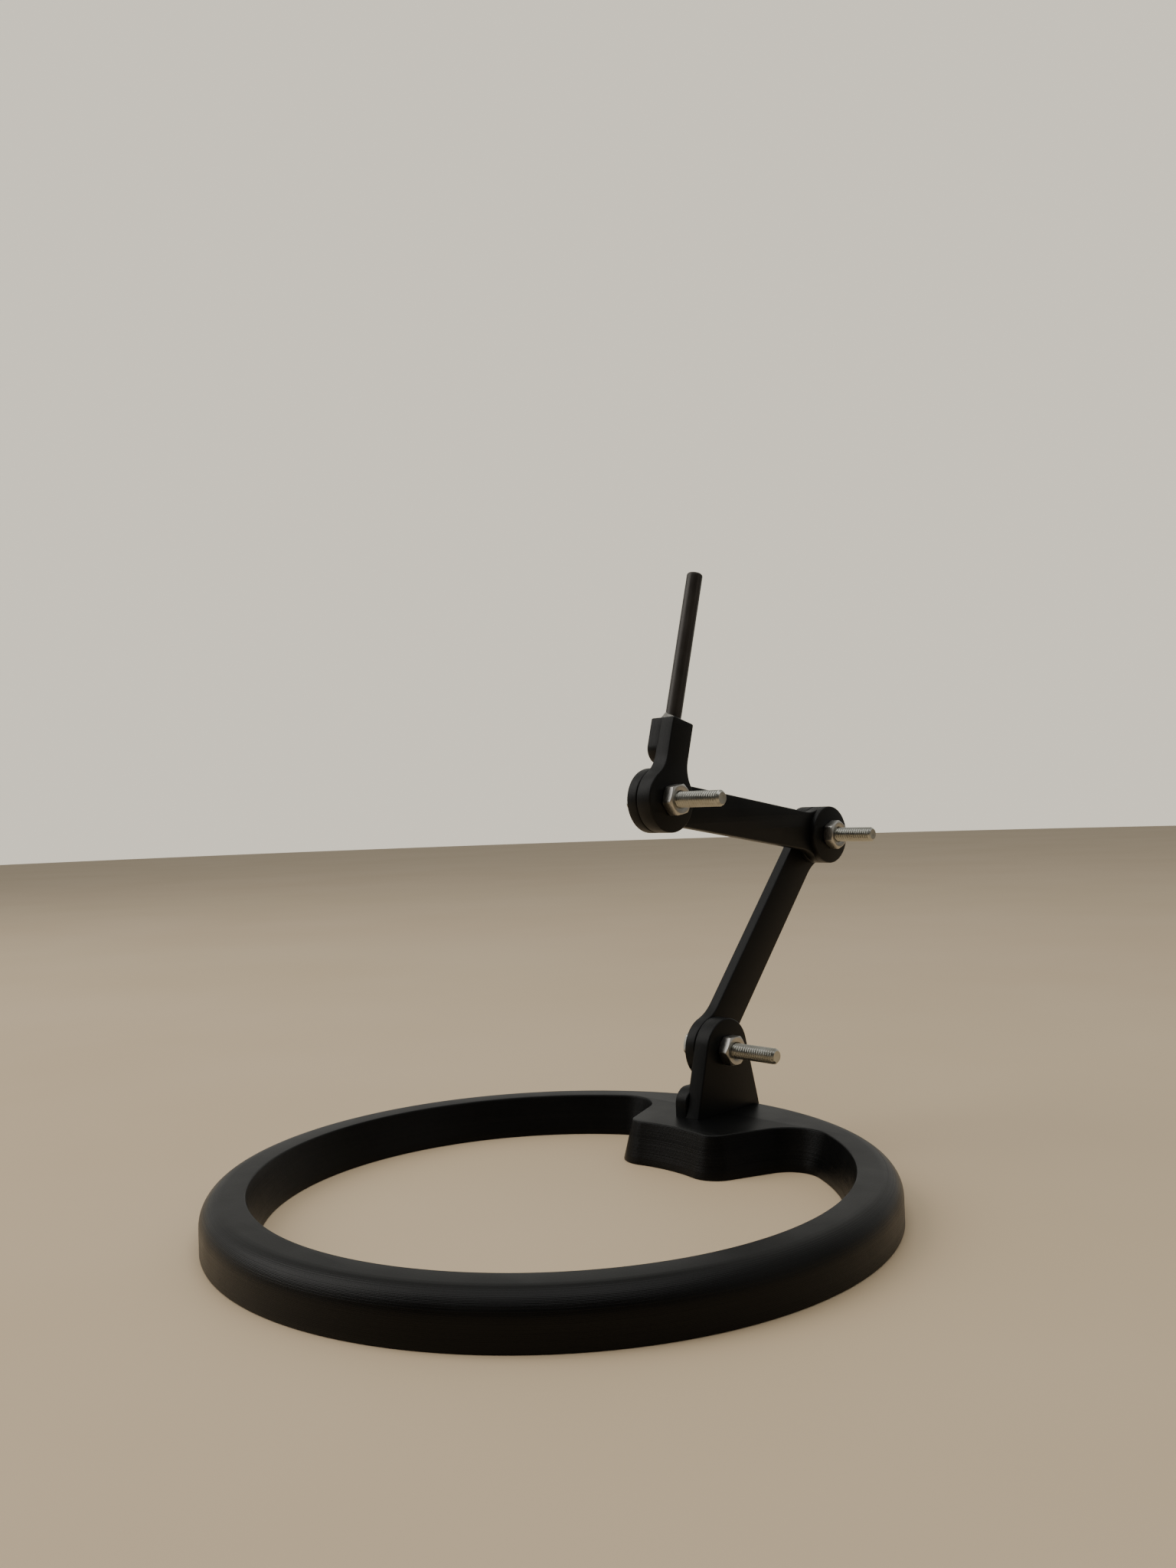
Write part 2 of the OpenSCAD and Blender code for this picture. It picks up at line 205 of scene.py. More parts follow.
def rod_finish(name, turn):
    """Smooth dark rod: drawn streaks along its length, warm grey-brown, soft sheen."""
    m, nt, bs = new_mat(name)
    tc = node(nt, "ShaderNodeTexCoord")
    mp = node(nt, "ShaderNodeMapping", vector_type="TEXTURE")
    mp.inputs["Rotation"].default_value = (turn, 0, 0)
    nt.links.new(tc.outputs["Object"], mp.inputs[0])
    st = node(nt, "ShaderNodeMapping")
    st.inputs["Scale"].default_value = (2600.0, 2600.0, 55.0)
    nt.links.new(mp.outputs[0], st.inputs[0])
    streak = node(nt, "ShaderNodeTexNoise", i_Scale=1.0, i_Detail=3.0, i_Roughness=0.55)
    nt.links.new(st.outputs[0], streak.inputs["Vector"])
    big = node(nt, "ShaderNodeTexNoise", i_Scale=160.0, i_Detail=3.0, i_Roughness=0.5)
    nt.links.new(mp.outputs[0], big.inputs["Vector"])
    mix = maths(nt, "MULTIPLY_ADD", streak.outputs[0], 0.5, maths(nt, "MULTIPLY", big.outputs[0], 0.5))
    col = ramp(nt, mix, [(0.36, (0.026, 0.0225, 0.019, 1)), (0.64, (0.044, 0.0385, 0.033, 1))])
    nt.links.new(col, bs.inputs["Base Color"])
    r = maths(nt, "MULTIPLY_ADD", mix, 0.3, 0.25)
    nt.links.new(r, bs.inputs["Roughness"])
    bs.inputs["Metallic"].default_value = 0.35
    bump = node(nt, "ShaderNodeBump", i_Strength=0.25, i_Distance=0.00002)
    nt.links.new(mix, bump.inputs["Height"])
    nt.links.new(bump.outputs[0], bs.inputs["Normal"])
    return m


def glue(name):
    m, nt, bs = new_mat(name)
    tc = node(nt, "ShaderNodeTexCoord")
    n1 = node(nt, "ShaderNodeTexNoise", i_Scale=900.0, i_Detail=2.0)
    nt.links.new(tc.outputs["Object"], n1.inputs["Vector"])
    col = ramp(nt, n1.outputs[0], [(0.35, (0.34, 0.33, 0.30, 1)), (0.65, (0.58, 0.57, 0.52, 1))])
    nt.links.new(col, bs.inputs["Base Color"])
    nt.links.new(maths(nt, "MULTIPLY_ADD", n1.outputs[0], 0.2, 0.12), bs.inputs["Roughness"])
    bs.inputs["Transmission Weight"].default_value = 0.45
    bs.inputs["IOR"].default_value = 1.47
    bump = node(nt, "ShaderNodeBump", i_Strength=0.3, i_Distance=0.0001)
    nt.links.new(n1.outputs[0], bump.inputs["Height"])
    nt.links.new(bump.outputs[0], bs.inputs["Normal"])
    return m


# ------------------------------------------------------------------ mesh tools
def add_object(name, bm, mats, smooth_angle=40):
    me = bpy.data.meshes.new(name)
    bm.normal_update()
    bm.to_mesh(me)
    bm.free()
    o = bpy.data.objects.new(name, me)
    bpy.context.scene.collection.objects.link(o)
    for m in (mats if isinstance(mats, (list, tuple)) else [mats]):
        me.materials.append(m)
    set_smooth(o, smooth_angle)
    return o


def set_smooth(o, angle):
    me = o.data
    for p in me.polygons:
        p.use_smooth = True
    bm = bmesh.new()
    bm.from_mesh(me)
    lim = math.radians(angle)
    for e in bm.edges:
        e.smooth = not (len(e.link_faces) == 2 and e.calc_face_angle(0.0) > lim)
    bm.to_mesh(me)
    bm.free()


def apply_all(o):
    dg = bpy.context.evaluated_depsgraph_get()
    me = bpy.data.meshes.new_from_object(o.evaluated_get(dg))
    o.modifiers.clear()
    old = o.data
    o.data = me
    if old.users == 0:
        bpy.data.meshes.remove(old)


def declare(o, body, cad):
    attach(o, body)
    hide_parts(cad)
    return o


def loft(bm, loops, closed=True):
    """Joins stacked loops of the same number of points with quads; closed makes each loop a ring."""
    vs = [[bm.verts.new(p) for p in L] for L in loops]
    n = len(vs[0])
    for a, b in zip(vs, vs[1:]):
        for i in range(n if closed else n - 1):
            j = (i + 1) % n
            bm.faces.new((a[i], a[j], b[j], b[i]))
    return vs


def eased(r, a0, a1, n):
    return [(r * (1 - math.cos(a)), r * math.sin(a)) for a in [math.radians(a0 + (a1 - a0) * i / n) for i in range(n + 1)]]


# 2-D outlines in (y, z) as lists of (point, outward normal)
def arc_pn(c, r, a0, a1, n, out=1):
    res = []
    for i in range(n + 1):
        a = math.radians(a0 + (a1 - a0) * i / n)
        d = Vector((math.cos(a), math.sin(a)))
        res.append((Vector(c) + r * d, d * out))
    return res


def plate(name, outline, holes, x0, x1, bevel, mat, steps=3):
    """Flat plate across X with softened edges: outline and holes are (point, outward normal) rings."""
    bm = bmesh.new()
    prof = []   # (inset, x)
    for i in range(steps + 1):
        a = math.pi / 2 * i / steps
        prof.append((bevel * (1 - math.sin(a)), x0 + bevel * (1 - math.cos(a))))
    span = x1 - x0 - 2 * bevel
    cuts = max(1, int(span / 0.0016))
    for i in range(1, cuts):
        prof.append((0.0, x0 + bevel + span * i / cuts))
    for i in range(steps + 1):
        a = math.pi / 2 * (1 - i / steps)
        prof.append((bevel * (1 - math.sin(a)), x1 - bevel * (1 - math.cos(a))))
    rings = []
    for k, ring in enumerate([outline] + holes):
        loops = []
        for inset, x in prof:
            loops.append([Vector((x, p.x - nn.x * inset, p.y - nn.y * inset)) for p, nn in ring])
        rings.append(loft(bm, loops))
    for end, rev in ((0, True), (-1, False)):
        loops3 = [[Vector((v.co.y, v.co.z, 0)) for v in r[end]] for r in rings]
        flat = [v for r in rings for v in r[end]]
        for t in tessellate_polygon(loops3):
            try:
                bm.faces.new([flat[i] for i in (t if not rev else t[::-1])])
            except ValueError:
                pass
    bmesh.ops.recalc_face_normals(bm, faces=bm.faces)
    return add_object(name, bm, mat, 38)


def circle_hole(c, r, n=64):
    return [(p, -d) for p, d in arc_pn(c, r, 0, 360 - 360 / n, n - 1)]


def link_outline(a, b, r, w, f, nend=40, nfil=12):
    """Round ends of radius r at a and b, bar of half-width w, fillets of radius f; ring runs anticlockwise in (y, z)."""
    a, b = Vector(a), Vector(b)
    L = (b - a).length
    ang = math.degrees(math.atan2(b.y - a.y, b.x - a.x))
    u = math.sqrt((r + f) ** 2 - (w + f) ** 2)
    t = math.degrees(math.atan2(w + f, u))
    local = []
    local += arc_pn((0, 0), r, t, 360 - t, nend)                                   # end at a
    local += arc_pn((u, -(w + f)), f, 180 - t, 90, nfil, -1)                       # fillet, lower side
    local += [(Vector((u + (L - 2 * u) * i / 8, -w)), Vector((0, -1))) for i in range(1, 8)]
    local += arc_pn((L - u, -(w + f)), f, 90, t, nfil, -1)
    local += arc_pn((L, 0), r, -(180 - t), 180 - t, nend)
    local += arc_pn((L - u, w + f), f, -t, -90, nfil, -1)
    local += [(Vector((u + (L - 2 * u) * (8 - i) / 8, w)), Vector((0, 1))) for i in range(1, 8)]
    local += arc_pn((u, w + f), f, -90, -(180 - t), nfil, -1)
    ca, sa = math.cos(math.radians(ang)), math.sin(math.radians(ang))
    rot = lambda v: Vector((v.x * ca - v.y * sa, v.x * sa + v.y * ca))
    res = []
    for p, nn in local:
        q = a + rot(p)
        if res and (q - res[-1][0]).length < 1e-6:
            continue
        res.append((q, rot(nn)))
    if (res[0][0] - res[-1][0]).length < 1e-6:
        res.pop()
    return res


def disc(c, r, n=72):
    return arc_pn(c, r, 0, 360 - 360 / n, n - 1)


def join(name, objs):
    """One object from several."""
    for o in bpy.context.selected_objects:
        o.select_set(False)
    for o in objs:
        o.select_set(True)
    bpy.context.view_layer.objects.active = objs[0]
    bpy.ops.object.join()
    objs[0].name = name
    return objs[0]


# ------------------------------------------------------------------ finishes
mat_ring = printed_plastic("black_plastic_ring", 2, lines=1.0)
mat_side = printed_plastic("black_plastic_flat_printed", 0, lines=0.8, base=0.0058, rough=0.38)
mat_zinc = zinc("zinc_plated_steel", 0)
mat_zinc_nut = zinc("zinc_plated_nut", 0, base=(0.52, 0.51, 0.48), rough=0.34)
mat_rod = rod_finish("dark_rod", -LEAN)
mat_glue = glue("clear_adhesive")

# ------------------------------------------------------------------ ring foot
EDGE = 4.6 * MM
Ri, Ro = 63 * MM, RING_O
PIN_R, PHALF, PCOR, PFIL = 37.2 * MM, 22.7, 7 * MM, 7 * MM
DRAFT = 2.6 * MM


def inner_ring_outline():
    """The opening's edge: ring bore, fillets, pad sides, corners and inner end. Normals point into the opening."""
    cor_r = PIN_R + PCOR
    cor_b = PHALF - math.degrees(math.asin(PCOR / cor_r))
    fil_r = Ri - PFIL
    fil_b = PHALF + math.degrees(math.asin(PFIL / fil_r))
    pol = lambda r, b: Vector((r * math.sin(math.radians(b)), r * math.cos(math.radians(b))))
    right = []
    for i in range(0, 12):
        b = cor_b * i / 12
        right.append((pol(PIN_R, b), -pol(1, b)))
    right += arc_pn(pol(cor_r, cor_b), PCOR, 270 - cor_b, 360 - PHALF, 18)
    s, e = right[-1][0], pol(fil_r, fil_b) + PFIL * Vector((math.cos(math.radians(180 - PHALF)), math.sin(math.radians(180 - PHALF))))
    nrm = right[-1][1]
    for i in range(1, 5):
        right.append((s.lerp(e, i / 5), nrm))
    right += arc_pn(pol(fil_r, fil_b), PFIL, 180 - PHALF, 90 - fil_b, 20, -1)
    for i in range(1, 100):
        b = fil_b + (180 - fil_b) * i / 100
        right.append((pol(Ri, b), -pol(1, b)))
    full = right + [(pol(Ri, 180), -pol(1, 180))]
    full += [(Vector((-p.x, p.y)), Vector((-n.x, n.y))) for p, n in reversed(right[1:])]
    return full


def build_ring():
    bm = bmesh.new()
    foot = 0.35 * MM
    base = [(foot, 0.0), (foot * 0.3, foot * 0.3), (0.0, foot)]
    outer_lv = base + [(0.0, foot + (H - EDGE - foot) * k / 4) for k in range(1, 4)]
    for k in range(15):
        a = math.radians(90 * k / 14)
        outer_lv.append((EDGE * (1 - math.cos(a)), H - EDGE + EDGE * math.sin(a)))
    # the inner walls slope, and meet the top in a crisp edge softened by 0.4 mm
    slope = math.atan2(DRAFT, H)
    soft = 0.4 * MM
    inner_lv = [(foot, 0.0), (foot * 0.35, foot * 0.3), (DRAFT * foot / H, foot)]
    inner_lv += [(DRAFT * z / H, z) for z in [foot + (H - 2 * foot - soft) * k / 5 for k in range(1, 6)]]
    cx, cz = DRAFT + soft * (1 - math.sin(slope)) / math.cos(slope), H - soft
    for k in range(7):
        t = slope + (math.pi / 2 - slope) * k / 6
        inner_lv.append((cx - soft * math.cos(t), cz + soft * math.sin(t)))
    inner = inner_ring_outline()
    n_out = 240
    outer = [(Vector((Ro * math.cos(2 * math.pi * i / n_out), Ro * math.sin(2 * math.pi * i / n_out))),
              Vector((math.cos(2 * math.pi * i / n_out), math.sin(2 * math.pi * i / n_out)))) for i in range(n_out)]
    rings = []
    for ring, lv in ((outer, outer_lv), (inner, inner_lv)):
        loops = [[Vector((p.x - n.x * d, CY + p.y - n.y * d, z)) for p, n in ring] for d, z in lv]
        rings.append(loft(bm, loops))
    for end in (0, -1):
        flat = [v for r in rings for v in r[end]]
        loops3 = [[Vector((v.co.x, v.co.y, 0)) for v in r[end]] for r in rings]
        for t in tessellate_polygon(loops3):
            try:
                bm.faces.new([flat[i] for i in t])
            except ValueError:
                pass
    bmesh.ops.recalc_face_normals(bm, faces=bm.faces)
    return add_object("ring_foot", bm, mat_ring, 32)


ring = build_ring()
declare(ring, "base", "base_ring")

# ------------------------------------------------------------------ base bracket
END_R = 7.9 * MM
EAR0, EAR1 = hi("base_bracket").x - 4.4 * MM, hi("base_bracket").x
FOOT0 = lo("base_bracket").x
p1 = Vector((P1.y, P1.z))


def ear_outline():
    """Round top on straight tapering sides, with small corners where it meets the pad."""
    half = 12.2 * MM
    e = Vector((p1.x + half + 0.12 * MM, H - 0.45 * MM))
    e0 = Vector((p1.x + half, H + 0.03 * MM))
    v = e0 - p1
    d = v.length
    a = math.degrees(math.acos(END_R / d))
    b = math.degrees(math.atan2(v.y, v.x))
    t = b + a
    res = arc_pn(p1, END_R, t, 180 - t, 48)
    left0 = res[-1][0]
    le = Vector((p1.x - half, H + 0.03 * MM))
    nl = Vector((math.cos(math.radians(180 - t)), math.sin(math.radians(180 - t))))
    nr = Vector((math.cos(math.radians(t)), math.sin(math.radians(t))))
    for i in range(1, 8):
        res.append((left0.lerp(le, i / 8), nl))
    res.append((le, Vector((-0.25, 0)) + nl))
    for i in range(1, 10):
        q = le.lerp(Vector((CY + RING_O - EDGE, le.y)), i / 9)
        res.append((q, Vector((0, 0))))
    res.append((e, nr + Vector((0.25, 0))))
    for i in range(1, 8):
        res.append((e.lerp(res[0][0], i / 8), nr))
    return res


def foot_outline():
    half, top, r = 12.2 * MM, H + 7 * MM, 4 * MM
    res = arc_pn((p1.x + half - r, top - r), r, 0, 90, 10)
    for i in range(1, 8):
        res.append((Vector((p1.x + (half - r) * (1 - i / 4), top)), Vector((0, 1))))
    res += arc_pn((p1.x - half + r, top - r), r, 90, 180, 10)
    res.append((Vector((p1.x - half, H)), Vector((-1, 0))))
    for i in range(1, 10):
        res.append((Vector((p1.x - half + 2 * half * i / 10, H)), Vector((0, 0))))
    res.append((Vector((p1.x + half, H)), Vector((1, 0))))
    return res


BEV = 0.35 * MM
ear = plate("ear", ear_outline(), [circle_hole(p1, 2.05 * MM)], EAR0, EAR1, BEV, mat_side)
footb = plate("foot", foot_outline(), [], FOOT0, EAR0 + 0.5 * MM, BEV, mat_side)
bracket = join("base_bracket_body", [ear, footb])
declare(bracket, "base", "base_bracket")

# ------------------------------------------------------------------ arm links
BAR_W, FIL, BAR_T, ELB_T = 5.2 * MM, 12 * MM, 3.1 * MM, 4.65 * MM
p2 = Vector((P2.y, P2.z))
p3 = Vector((P3.y, P3.z))


def build_link(name, pa, pb, p_elbow, x_far, mat):
    holes = [circle_hole(pa, 2.05 * MM), circle_hole(pb, 2.05 * MM)]
    flat = plate(name + "_bar", link_outline(pa, pb, END_R, BAR_W, FIL), holes, x_far, x_far + BAR_T, BEV, mat)
    boss = plate(name + "_boss", disc(p_elbow, END_R), [circle_hole(p_elbow, 2.05 * MM)], x_far + BAR_T - 0.6 * MM, x_far + ELB_T, BEV, mat)
    return join(name, [flat, boss])


lower = build_link("lower_link", p1, p2, p2, lo("lower_arm").x, mat_side)
declare(lower, "lower_arm", "lower_arm")
upper = build_link("upper_link", p2, p3, p2, lo("upper_arm").x, mat_side)
declare(upper, "upper_arm", "upper_arm")

# ------------------------------------------------------------------ head bracket
HX1 = hi("head_bracket").x
HX0 = HX1 - 4.4 * MM
HXB = lo("head_bracket").x
STEM, SFIL, TOPH, LOWH = 3.7 * MM, 8 * MM, 20 * MM, 9.3 * MM
hdir = Vector((math.sin(LEAN), math.cos(LEAN)))       # up the stem, in (y, z)
hside = Vector((math.cos(LEAN), -math.sin(LEAN)))     # towards +Y


def head_point(s, t): return p3 + hdir * s + hside * t


def head_ear_outline():
    u = math.sqrt((END_R + SFIL) ** 2 - (STEM + SFIL) ** 2)
    t = math.degrees(math.atan2(STEM + SFIL, u))
    loc = arc_pn((0, 0), END_R, t, 360 - t, 52)
    loc += arc_pn((u, -(STEM + SFIL)), SFIL, 180 - t, 90, 12, -1)
    top, c = TOPH, 0.5 * MM
    loc += [(Vector((u + (top - c - u) * i / 6, -STEM)), Vector((0, -1))) for i in range(1, 6)]
    loc += arc_pn((top - c, -STEM + c), c, -90, 0, 5)
    loc += [(Vector((top, -STEM + c + (2 * STEM - 2 * c) * i / 6)), Vector((1, 0))) for i in range(1, 6)]
    loc += arc_pn((top - c, STEM - c), c, 0, 90, 5)
    loc += [(Vector((u + (top - c - u) * (6 - i) / 6, STEM)), Vector((0, 1))) for i in range(1, 6)]
    loc += arc_pn((u, STEM + SFIL), SFIL, -90, -(180 - t), 12, -1)
    ang = math.atan2(hdir.y, hdir.x)
    ca, sa = math.cos(ang), math.sin(ang)
    rot = lambda v: Vector((v.x * ca - v.y * sa, v.x * sa + v.y * ca))
    res = []
    for p, nn in loc:
        q = p3 + rot(p)
        if res and (q - res[-1][0]).length < 1e-6:
            continue
        res.append((q, rot(nn)))
    if (res[0][0] - res[-1][0]).length < 1e-6:
        res.pop()
    return res


def head_block_outline():
    c = 0.5 * MM
    loc = arc_pn((LOWH + STEM, 0), STEM, 90, 270, 24)
    loc += [(Vector((LOWH + STEM + (TOPH - c - LOWH - STEM) * i / 4, -STEM)), Vector((0, -1))) for i in range(1, 4)]
    loc += arc_pn((TOPH - c, -STEM + c), c, -90, 0, 5)
    loc += [(Vector((TOPH, -STEM + c + (2 * STEM - 2 * c) * i / 6)), Vector((1, 0))) for i in range(1, 6)]
    loc += arc_pn((TOPH - c, STEM - c), c, 0, 90, 5)
    loc += [(Vector((LOWH + STEM + (TOPH - c - LOWH - STEM) * (4 - i) / 4, STEM)), Vector((0, 1))) for i in range(1, 4)]
    ang = math.atan2(hdir.y, hdir.x)
    ca, sa = math.cos(ang), math.sin(ang)
    rot = lambda v: Vector((v.x * ca - v.y * sa, v.x * sa + v.y * ca))
    return [(p3 + rot(p), rot(nn)) for p, nn in loc]


h_ear = plate("h_ear", head_ear_outline(), [circle_hole(p3, 2.05 * MM)], HX0, HX1, BEV, mat_side)
h_block = plate("h_block", head_block_outline(), [], HXB, HX0 + 0.8 * MM, BEV, mat_side)
head = join("head_bracket_body", [h_ear, h_block])
declare(head, "head", "head_bracket")

# ------------------------------------------------------------------ rod and bead
XROD = HX1 - 3.75 * MM
ROD_R, ROD_TOP = 2.0 * MM, 58.6 * MM


def on_rod(s, r, a, dx=0.0, dt=0.0):
    """Point at height s up the rod, radius r, angle a round it (0 is +X, 90 is +Y side)."""
    q = head_point(s, r * math.sin(a) + dt)
    return Vector((XROD + r * math.cos(a) + dx, q.x, q.y))


def build_rod():
    bm = bmesh.new()
    n = 64
    prof = [(TOPH - 7.0 * MM, ROD_R - 0.05 * MM)]
    prof += [(TOPH + 1.5 * MM, ROD_R - 0.02 * MM)]
    prof += [(TOPH + 2.4 * MM + (ROD_TOP - TOPH - 3.0 * MM) * i / 24, ROD_R) for i in range(25)]
    prof += [(ROD_TOP - 0.45 * MM, ROD_R - 0.01 * MM), (ROD_TOP - 0.3 * MM, ROD_R - 0.06 * MM), (ROD_TOP - 0.1 * MM, ROD_R - 0.24 * MM),
             (ROD_TOP - 0.02 * MM, ROD_R - 0.42 * MM), (ROD_TOP, ROD_R - 0.7 * MM), (ROD_TOP, ROD_R * 0.3)]
    loops = [[on_rod(s, r, 2 * math.pi * i / n) for i in range(n)] for s, r in prof]
    vs = loft(bm, loops)
    bm.faces.new(vs[0])
    bm.faces.new(vs[-1])
    bmesh.ops.recalc_face_normals(bm, faces=bm.faces)
    return add_object("slim_rod", bm, mat_rod, 45)


rod = build_rod()
declare(rod, "head", "rod")


def build_bead():
    """An uneven fillet of adhesive, fuller on the side away from the ear."""
    bm = bmesh.new()
    n = 48
    loops = []
    prof = [(0.0, 0.2), (0.0, 0.97), (0.14, 1.0), (0.32, 0.90), (0.5, 0.66), (0.7, 0.42), (0.86, 0.22), (0.97, 0.07), (1.0, 0.0)]
    for k, (hh, ww) in enumerate(prof):
        L = []
        for i in range(n):
            a = 2 * math.pi * i / n
            full = 0.5 + 0.5 * math.cos(a - math.radians(215))
            width = (0.22 + 0.72 * full ** 1.8 + 0.08 * math.sin(3 * a + 0.7) + 0.04 * math.sin(7 * a)) * MM
            height = (0.5 + 1.4 * full ** 1.6 + 0.12 * math.sin(2 * a + 1.1) + 0.06 * math.sin(5 * a)) * MM
            L.append(on_rod(TOPH + 0.02 * MM + hh * height, ROD_R - 0.02 * MM + ww * max(width, 0.12 * MM), a))
        loops.append(L)
    vs = loft(bm, loops)
    bmesh.ops.recalc_face_normals(bm, faces=bm.faces)
    o = add_object("adhesive_bead", bm, mat_glue, 80)
    return o


bead = build_bead()
declare(bead, "head", "rod_glue_bead")

# ------------------------------------------------------------------ fasteners
PITCH = 0.7 * MM
BOLT_R = 1.95 * MM
HEX_AF = 7.0 * MM


def hex_radius(a, turn=0.0):
    t = (a - turn) % (math.pi / 3) - math.pi / 6
    return HEX_AF / 2 / math.cos(t)


def hex_rings(bm, centre, x0, x1, turn, chamfer0, chamfer1, bore, n=96):
    """Chamfered hexagon between x0 and x1; bore is a radius, or None for a solid end at x0."""
    r_c = HEX_AF / 2 * 0.965
    tan = math.tan(math.radians(30))
    P = lambda x, r, a: Vector((x, centre.x + r * math.cos(a), centre.y + r * math.sin(a)))
    angs = [2 * math.pi * i / n for i in range(n)]
    # corners softened by a small radius
    def hr(a):
        h = hex_radius(a, turn)
        return min(h, HEX_AF / 2 / math.cos(math.pi / 6) - 0.06 * MM)
    loops = []
    if bore:
        loops.append([P((x0 + x1) / 2, bore, a) for a in angs])
        loops.append([P(x0 + 0.35 * MM, bore, a) for a in angs])
        loops.append([P(x0 + 0.02 * MM, bore + 0.33 * MM, a) for a in angs])
        loops.append([P(x0, bore + 0.38 * MM, a) for a in angs])
    else:
        loops.append([P(x0 + 0.10 * MM, 1.2 * MM, a) for a in angs])
        loops.append([P(x0 + 0.10 * MM, 2.0 * MM, a) for a in angs])
        loops.append([P(x0, 2.25 * MM, a) for a in angs])
    loops.append([P(x0, r_c - 0.05 * MM, a) for a in angs])
    if chamfer0:
        loops.append([P(x0 + (max(hr(a), r_c) - r_c) * tan + 0.02 * MM, hr(a) - 0.02 * MM, a) for a in angs])
        loops.append([P(x0 + (max(hr(a), r_c) - r_c) * tan + 0.08 * MM, hr(a), a) for a in angs])
    else:
        loops.append([P(x0, hr(a) - 0.06 * MM, a) for a in angs])
        loops.append([P(x0 + 0.06 * MM, hr(a), a) for a in angs])
    loops.append([P((x0 + x1) / 2, hr(a), a) for a in angs])
    if chamfer1:
        loops.append([P(x1 - (max(hr(a), r_c) - r_c) * tan - 0.08 * MM, hr(a), a) for a in angs])
        loops.append([P(x1 - (max(hr(a), r_c) - r_c) * tan - 0.02 * MM, hr(a) - 0.02 * MM, a) for a in angs])
    else:
        loops.append([P(x1 - 0.06 * MM, hr(a), a) for a in angs])
        loops.append([P(x1, hr(a) - 0.06 * MM, a) for a in angs])
    loops.append([P(x1, r_c - 0.05 * MM, a) for a in angs])
    if bore:
        loops.append([P(x1, bore + 0.38 * MM, a) for a in angs])
        loops.append([P(x1 - 0.02 * MM, bore + 0.33 * MM, a) for a in angs])
        loops.append([P(x1 - 0.35 * MM, bore, a) for a in angs])
    vs = loft(bm, loops)
    if bore:
        n_ = len(angs)
        for i in range(n_):
            j = (i + 1) % n_
            bm.faces.new((vs[-1][i], vs[-1][j], vs[0][j], vs[0][i]))
    else:
        bm.faces.new(vs[0])
        bm.faces.new(vs[-1])


def thread_radius(x, a, x_tip, x_start):
    """60-degree thread, rounded at root, flattened crest, chamfered at the tip and fading at its start."""
    depth = 0.37 * MM
    ph = (x / PITCH - a / (2 * math.pi)) % 1.0
    tri = abs(ph - 0.5) * 2                     # 1 at the crest, 0 at the root
    tri = min(1.0, max(0.0, (tri - 0.08) / 0.76))
    r = BOLT_R - depth * (1 - tri)
    fade = min(1.0, max(0.0, (x - x_start) / (0.8 * PITCH)))
    r = (BOLT_R - 0.04 * MM) * (1 - fade) + r * fade
    lim = BOLT_R - 0.55 * MM + (x_tip - x) * 0.95
    return max(min(r, lim), 0.6 * MM)


def build_bolt(name, cad, body):
    l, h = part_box(cad)
    c = Vector(((l.y + h.y) / 2, (l.z + h.z) / 2))
    x_head0 = l.x
    x_head1 = l.x + 2.8 * MM
    x_tip = h.x
    x_thread = x_tip - 15.6 * MM
    bm = bmesh.new()
    hex_rings(bm, c, x_head0, x_head1, math.radians(12), True, False, None)
    n = 48
    P = lambda x, r, a: Vector((x, c.x + r * math.cos(a), c.y + r * math.sin(a)))
    xs = [x_head1 - 0.3 * MM, x_head1 + 1.0 * MM, (x_head1 + x_thread) / 2, x_thread - 0.3 * MM]
    step = PITCH / 8
    k = int((x_tip - x_thread) / step)
    xs += [x_thread + i * (x_tip - x_thread) / k for i in range(k + 1)]
    loops = []
    for x in xs:
        loops.append([P(x, thread_radius(x, 2 * math.pi * i / n, x_tip, x_thread) if x > x_thread - 1e-9 else BOLT_R - 0.04 * MM, 2 * math.pi * i / n) for i in range(n)])
    last = [P(x_tip, 1.1 * MM, 2 * math.pi * i / n) for i in range(n)]
    loops.append(last)
    loops.append([P(x_tip - 0.03 * MM, 0.5 * MM, 2 * math.pi * i / n) for i in range(n)])
    vs = loft(bm, loops)
    bm.faces.new(vs[0])
    bm.faces.new(vs[-1])
    bmesh.ops.recalc_face_normals(bm, faces=bm.faces)
    o = add_object(name, bm, mat_zinc, 34)
    return declare(o, body, cad)


def build_nut(name, cad, body, turn):
    l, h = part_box(cad)
    c = Vector(((l.y + h.y) / 2, (l.z + h.z) / 2))
    bm = bmesh.new()
    hex_rings(bm, c, l.x, h.x, math.radians(turn), True, True, 1.98 * MM)
    bmesh.ops.recalc_face_normals(bm, faces=bm.faces)
    o = add_object(name, bm, mat_zinc_nut, 30)
    return declare(o, body, cad)


def build_washer(name, cad, body, bore=2.15 * MM):
    l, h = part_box(cad)
    c = Vector(((l.y + h.y) / 2, (l.z + h.z) / 2))
    r = (h.y - l.y) / 2
    o = plate(name, disc(c, r, 96), [circle_hole(c, bore, 96)], l.x, h.x, 0.1 * MM, mat_zinc)
    return declare(o, body, cad)


